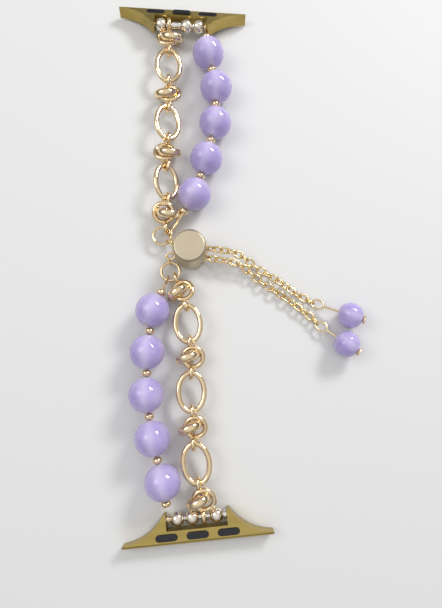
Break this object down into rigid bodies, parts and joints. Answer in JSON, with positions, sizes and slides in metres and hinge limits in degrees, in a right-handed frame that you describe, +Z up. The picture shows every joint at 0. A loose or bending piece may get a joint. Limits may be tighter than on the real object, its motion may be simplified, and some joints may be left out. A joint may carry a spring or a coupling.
{
  "type": "bead watch band",
  "caption": "Two-strand watch band of lilac beads and a knot-and-oval gold chain, with slide-in case adapters and a sliding stopper on two fine chains.",
  "frame": {"origin": "on the table, under the middle of the sliding stopper", "axes": "+Y along the band to the upper adapter, +X to the side of the two tails, +Z up"},
  "size_m": [0.0609, 0.1336, 0.0079],
  "materials": {
    "polished_gold": "polished light gold plating",
    "satin_gold": "satin dark gold plating",
    "lilac_glass": "milky translucent lilac",
    "black_pad": "smooth black",
    "steel": "bright steel",
    "silicone": "clear soft silicone"
  },
  "bodies": {
    "stopper": {"stopper_drum": "polished_gold", "stopper_core": "silicone"},
    "fine_chain_a": {"fine_chain_a": "polished_gold"},
    "pendant_a": {"pendant_bead_a": "lilac_glass", "pendant_pin_a": "polished_gold"},
    "fine_chain_b": {"fine_chain_b": "polished_gold"},
    "pendant_b": {"pendant_bead_b": "lilac_glass", "pendant_pin_b": "polished_gold"},
    "upper_end_ring": {"upper_end_ring": "polished_gold"},
    "upper_knot_link_1": {"upper_knot_link_1": "polished_gold"},
    "upper_oval_link_1": {"upper_oval_link_1": "polished_gold"},
    "upper_knot_link_2": {"upper_knot_link_2": "polished_gold"},
    "upper_oval_link_2": {"upper_oval_link_2": "polished_gold"},
    "upper_knot_link_3": {"upper_knot_link_3": "polished_gold"},
    "upper_oval_link_3": {"upper_oval_link_3": "polished_gold"},
    "upper_knot_link_4": {"upper_knot_link_4": "polished_gold"},
    "upper_adapter": {"upper_adapter": "satin_gold", "upper_pads": "black_pad", "upper_bar": "steel", "upper_bar_balls": "polished_gold"},
    "upper_lock_button": {"upper_lock_button": "black_pad"},
    "upper_strand_1": {"upper_bead_1": "lilac_glass", "upper_small_ball_1": "polished_gold", "upper_eye_pin": "polished_gold"},
    "upper_strand_2": {"upper_bead_2": "lilac_glass", "upper_small_ball_2": "polished_gold"},
    "upper_strand_3": {"upper_bead_3": "lilac_glass", "upper_small_ball_3": "polished_gold"},
    "upper_strand_4": {"upper_bead_4": "lilac_glass", "upper_small_ball_4": "polished_gold"},
    "upper_strand_5": {"upper_bead_5": "lilac_glass", "upper_small_ball_5": "polished_gold"},
    "upper_strand_6": {"upper_small_ball_6": "polished_gold"},
    "lower_end_ring": {"lower_end_ring": "polished_gold"},
    "lower_knot_link_1": {"lower_knot_link_1": "polished_gold"},
    "lower_oval_link_1": {"lower_oval_link_1": "polished_gold"},
    "lower_knot_link_2": {"lower_knot_link_2": "polished_gold"},
    "lower_oval_link_2": {"lower_oval_link_2": "polished_gold"},
    "lower_knot_link_3": {"lower_knot_link_3": "polished_gold"},
    "lower_oval_link_3": {"lower_oval_link_3": "polished_gold"},
    "lower_knot_link_4": {"lower_knot_link_4": "polished_gold"},
    "lower_adapter": {"lower_adapter": "satin_gold", "lower_pads": "black_pad", "lower_bar": "steel", "lower_bar_balls": "polished_gold"},
    "lower_lock_button": {"lower_lock_button": "black_pad"},
    "lower_strand_1": {"lower_bead_1": "lilac_glass", "lower_small_ball_1": "polished_gold", "lower_eye_pin": "polished_gold"},
    "lower_strand_2": {"lower_bead_2": "lilac_glass", "lower_small_ball_2": "polished_gold"},
    "lower_strand_3": {"lower_bead_3": "lilac_glass", "lower_small_ball_3": "polished_gold"},
    "lower_strand_4": {"lower_bead_4": "lilac_glass", "lower_small_ball_4": "polished_gold"},
    "lower_strand_5": {"lower_bead_5": "lilac_glass", "lower_small_ball_5": "polished_gold"},
    "lower_strand_6": {"lower_small_ball_6": "polished_gold"}
  },
  "joints": [
    {"name": "chain_a_slide", "type": "slide", "parent": "stopper", "child": "fine_chain_a", "axis": [-0.9903, 0.1392, 0], "range_m": [0, 0.0055]},
    {"name": "pendant_a_swing", "type": "hinge", "parent": "fine_chain_a", "child": "pendant_a", "pos_m": [0.02956, -0.0126, 0.00108], "axis": [0, 0, 1], "range_deg": [0, 35]},
    {"name": "chain_b_slide", "type": "slide", "parent": "stopper", "child": "fine_chain_b", "axis": [-0.9903, 0.1392, 0], "range_m": [0, 0.0055]},
    {"name": "pendant_b_swing", "type": "hinge", "parent": "fine_chain_b", "child": "pendant_b", "pos_m": [0.03035, -0.01767, 0.00108], "axis": [0, 0, 1], "range_deg": [-35, 0]},
    {"name": "upper_ring_swing", "type": "hinge", "parent": "fine_chain_a", "child": "upper_end_ring", "pos_m": [-0.00547, 0.00245, 0.002], "axis": [0, 0, 1], "range_deg": [-10, 10]},
    {"name": "upper_curl", "type": "hinge", "parent": "upper_end_ring", "child": "upper_knot_link_1", "pos_m": [-0.0061, 0.006, 0.002], "axis": [1, 0, 0], "range_deg": [-20, 20]},
    {"name": "upper_oval_1_bend", "type": "hinge", "parent": "upper_knot_link_1", "child": "upper_oval_link_1", "pos_m": [-0.0061, 0.0131, 0.00305], "axis": [1, 0, 0], "range_deg": [-20, 20]},
    {"name": "upper_knot_2_bend", "type": "hinge", "parent": "upper_oval_link_1", "child": "upper_knot_link_2", "pos_m": [-0.00625, 0.02177, 0.00305], "axis": [1, 0, 0], "range_deg": [-20, 20]},
    {"name": "upper_oval_2_bend", "type": "hinge", "parent": "upper_knot_link_2", "child": "upper_oval_link_2", "pos_m": [-0.00613, 0.02887, 0.00305], "axis": [1, 0, 0], "range_deg": [-20, 20]},
    {"name": "upper_knot_3_bend", "type": "hinge", "parent": "upper_oval_link_2", "child": "upper_knot_link_3", "pos_m": [-0.00613, 0.03754, 0.00305], "axis": [1, 0, 0], "range_deg": [-20, 20]},
    {"name": "upper_oval_3_bend", "type": "hinge", "parent": "upper_knot_link_3", "child": "upper_oval_link_3", "pos_m": [-0.00625, 0.04464, 0.00305], "axis": [1, 0, 0], "range_deg": [-20, 20]},
    {"name": "upper_knot_4_bend", "type": "hinge", "parent": "upper_oval_link_3", "child": "upper_knot_link_4", "pos_m": [-0.0061, 0.05331, 0.00305], "axis": [1, 0, 0], "range_deg": [-20, 20]},
    {"name": "upper_adapter_hinge", "type": "hinge", "parent": "upper_knot_link_4", "child": "upper_adapter", "pos_m": [-0.0061, 0.06041, 0.00325], "axis": [0.9976, -0.0698, 0], "range_deg": [-40, 40]},
    {"name": "upper_lock_press", "type": "slide", "parent": "upper_adapter", "child": "upper_lock_button", "axis": [-0.0227, -0.3248, -0.9455], "range_m": [0, 0.00035], "stiffness_N_per_m": 120},
    {"name": "upper_strand_1_bend", "type": "hinge", "parent": "upper_end_ring", "child": "upper_strand_1", "pos_m": [-0.00496, 0.00476, 0.002], "axis": [1, 0, 0], "range_deg": [-19, 19]},
    {"name": "upper_strand_2_bend", "type": "hinge", "parent": "upper_strand_1", "child": "upper_strand_2", "pos_m": [0.00085, 0.0139, 0.004], "axis": [1, 0, 0], "range_deg": [-22, 22]},
    {"name": "upper_strand_3_bend", "type": "hinge", "parent": "upper_strand_2", "child": "upper_strand_3", "pos_m": [0.00369, 0.02318, 0.004], "axis": [1, 0, 0], "range_deg": [-22, 22]},
    {"name": "upper_strand_4_bend", "type": "hinge", "parent": "upper_strand_3", "child": "upper_strand_4", "pos_m": [0.00587, 0.03263, 0.004], "axis": [1, 0, 0], "range_deg": [-22, 22]},
    {"name": "upper_strand_5_bend", "type": "hinge", "parent": "upper_strand_4", "child": "upper_strand_5", "pos_m": [0.00604, 0.04233, 0.004], "axis": [1, 0, 0], "range_deg": [-22, 22]},
    {"name": "upper_strand_6_bend", "type": "hinge", "parent": "upper_strand_5", "child": "upper_strand_6", "pos_m": [0.00402, 0.05181, 0.004], "axis": [1, 0, 0], "range_deg": [-12, 12]},
    {"name": "lower_ring_swing", "type": "hinge", "parent": "fine_chain_b", "child": "lower_end_ring", "pos_m": [-0.00505, -0.00271, 0.002], "axis": [0, 0, 1], "range_deg": [-10, 10]},
    {"name": "lower_curl", "type": "hinge", "parent": "lower_end_ring", "child": "lower_knot_link_1", "pos_m": [-0.0035, -0.00664, 0.002], "axis": [-0.9976, -0.0698, 0], "range_deg": [-20, 20]},
    {"name": "lower_oval_1_bend", "type": "hinge", "parent": "lower_knot_link_1", "child": "lower_oval_link_1", "pos_m": [-0.00107, -0.01331, 0.00305], "axis": [-0.9976, -0.0698, 0], "range_deg": [-20, 20]},
    {"name": "lower_knot_2_bend", "type": "hinge", "parent": "lower_oval_link_1", "child": "lower_knot_link_2", "pos_m": [0.00014, -0.0219, 0.00305], "axis": [-0.9976, -0.0698, 0], "range_deg": [-20, 20]},
    {"name": "lower_oval_2_bend", "type": "hinge", "parent": "lower_knot_link_2", "child": "lower_oval_link_2", "pos_m": [0.00038, -0.02899, 0.00305], "axis": [-0.9976, -0.0698, 0], "range_deg": [-20, 20]},
    {"name": "lower_knot_3_bend", "type": "hinge", "parent": "lower_oval_link_2", "child": "lower_knot_link_3", "pos_m": [0.00069, -0.03766, 0.00305], "axis": [-0.9976, -0.0698, 0], "range_deg": [-20, 20]},
    {"name": "lower_oval_3_bend", "type": "hinge", "parent": "lower_knot_link_3", "child": "lower_oval_link_3", "pos_m": [0.00118, -0.04474, 0.00305], "axis": [-0.9976, -0.0698, 0], "range_deg": [-20, 20]},
    {"name": "lower_knot_4_bend", "type": "hinge", "parent": "lower_oval_link_3", "child": "lower_knot_link_4", "pos_m": [0.00239, -0.05333, 0.00305], "axis": [-0.9976, -0.0698, 0], "range_deg": [-20, 20]},
    {"name": "lower_adapter_hinge", "type": "hinge", "parent": "lower_knot_link_4", "child": "lower_adapter", "pos_m": [0.0035, -0.06034, 0.0019], "axis": [-0.9952, -0.0976, 0], "range_deg": [-40, 40]},
    {"name": "lower_lock_press", "type": "slide", "parent": "lower_adapter", "child": "lower_lock_button", "axis": [0, 0, -1], "range_m": [0, 0.00035], "stiffness_N_per_m": 120},
    {"name": "lower_strand_1_bend", "type": "hinge", "parent": "lower_end_ring", "child": "lower_strand_1", "pos_m": [-0.00568, -0.00695, 0.002], "axis": [-0.9976, -0.0698, 0], "range_deg": [-23, 23]},
    {"name": "lower_strand_2_bend", "type": "hinge", "parent": "lower_strand_1", "child": "lower_strand_2", "pos_m": [-0.00866, -0.01462, 0.004], "axis": [-0.9976, -0.0698, 0], "range_deg": [-23, 23]},
    {"name": "lower_strand_3_bend", "type": "hinge", "parent": "lower_strand_2", "child": "lower_strand_3", "pos_m": [-0.00967, -0.02427, 0.004], "axis": [-0.9976, -0.0698, 0], "range_deg": [-23, 23]},
    {"name": "lower_strand_4_bend", "type": "hinge", "parent": "lower_strand_3", "child": "lower_strand_4", "pos_m": [-0.00967, -0.03397, 0.004], "axis": [-0.9976, -0.0698, 0], "range_deg": [-23, 23]},
    {"name": "lower_strand_5_bend", "type": "hinge", "parent": "lower_strand_4", "child": "lower_strand_5", "pos_m": [-0.00807, -0.04353, 0.004], "axis": [-0.9976, -0.0698, 0], "range_deg": [-23, 23]},
    {"name": "lower_strand_6_bend", "type": "hinge", "parent": "lower_strand_5", "child": "lower_strand_6", "pos_m": [-0.00556, -0.0529, 0.004], "axis": [-0.9976, -0.0698, 0], "range_deg": [-12, 12]}
  ],
  "couplings": [
    {"joint": "chain_b_slide", "follows": "chain_a_slide", "ratio": 1},
    {"joint": "upper_oval_1_bend", "follows": "upper_curl", "ratio": 1},
    {"joint": "upper_knot_2_bend", "follows": "upper_curl", "ratio": 1},
    {"joint": "upper_oval_2_bend", "follows": "upper_curl", "ratio": 1},
    {"joint": "upper_knot_3_bend", "follows": "upper_curl", "ratio": 1},
    {"joint": "upper_oval_3_bend", "follows": "upper_curl", "ratio": 1},
    {"joint": "upper_knot_4_bend", "follows": "upper_curl", "ratio": 1},
    {"joint": "upper_strand_1_bend", "follows": "upper_curl", "ratio": 0.95},
    {"joint": "upper_strand_2_bend", "follows": "upper_curl", "ratio": 1.1},
    {"joint": "upper_strand_3_bend", "follows": "upper_curl", "ratio": 1.1},
    {"joint": "upper_strand_4_bend", "follows": "upper_curl", "ratio": 1.1},
    {"joint": "upper_strand_5_bend", "follows": "upper_curl", "ratio": 1.1},
    {"joint": "upper_strand_6_bend", "follows": "upper_curl", "ratio": 0.6},
    {"joint": "lower_oval_1_bend", "follows": "lower_curl", "ratio": 1},
    {"joint": "lower_knot_2_bend", "follows": "lower_curl", "ratio": 1},
    {"joint": "lower_oval_2_bend", "follows": "lower_curl", "ratio": 1},
    {"joint": "lower_knot_3_bend", "follows": "lower_curl", "ratio": 1},
    {"joint": "lower_oval_3_bend", "follows": "lower_curl", "ratio": 1},
    {"joint": "lower_knot_4_bend", "follows": "lower_curl", "ratio": 1},
    {"joint": "lower_strand_1_bend", "follows": "lower_curl", "ratio": 1.15},
    {"joint": "lower_strand_2_bend", "follows": "lower_curl", "ratio": 1.15},
    {"joint": "lower_strand_3_bend", "follows": "lower_curl", "ratio": 1.15},
    {"joint": "lower_strand_4_bend", "follows": "lower_curl", "ratio": 1.15},
    {"joint": "lower_strand_5_bend", "follows": "lower_curl", "ratio": 1.15},
    {"joint": "lower_strand_6_bend", "follows": "lower_curl", "ratio": 0.6}
  ]
}
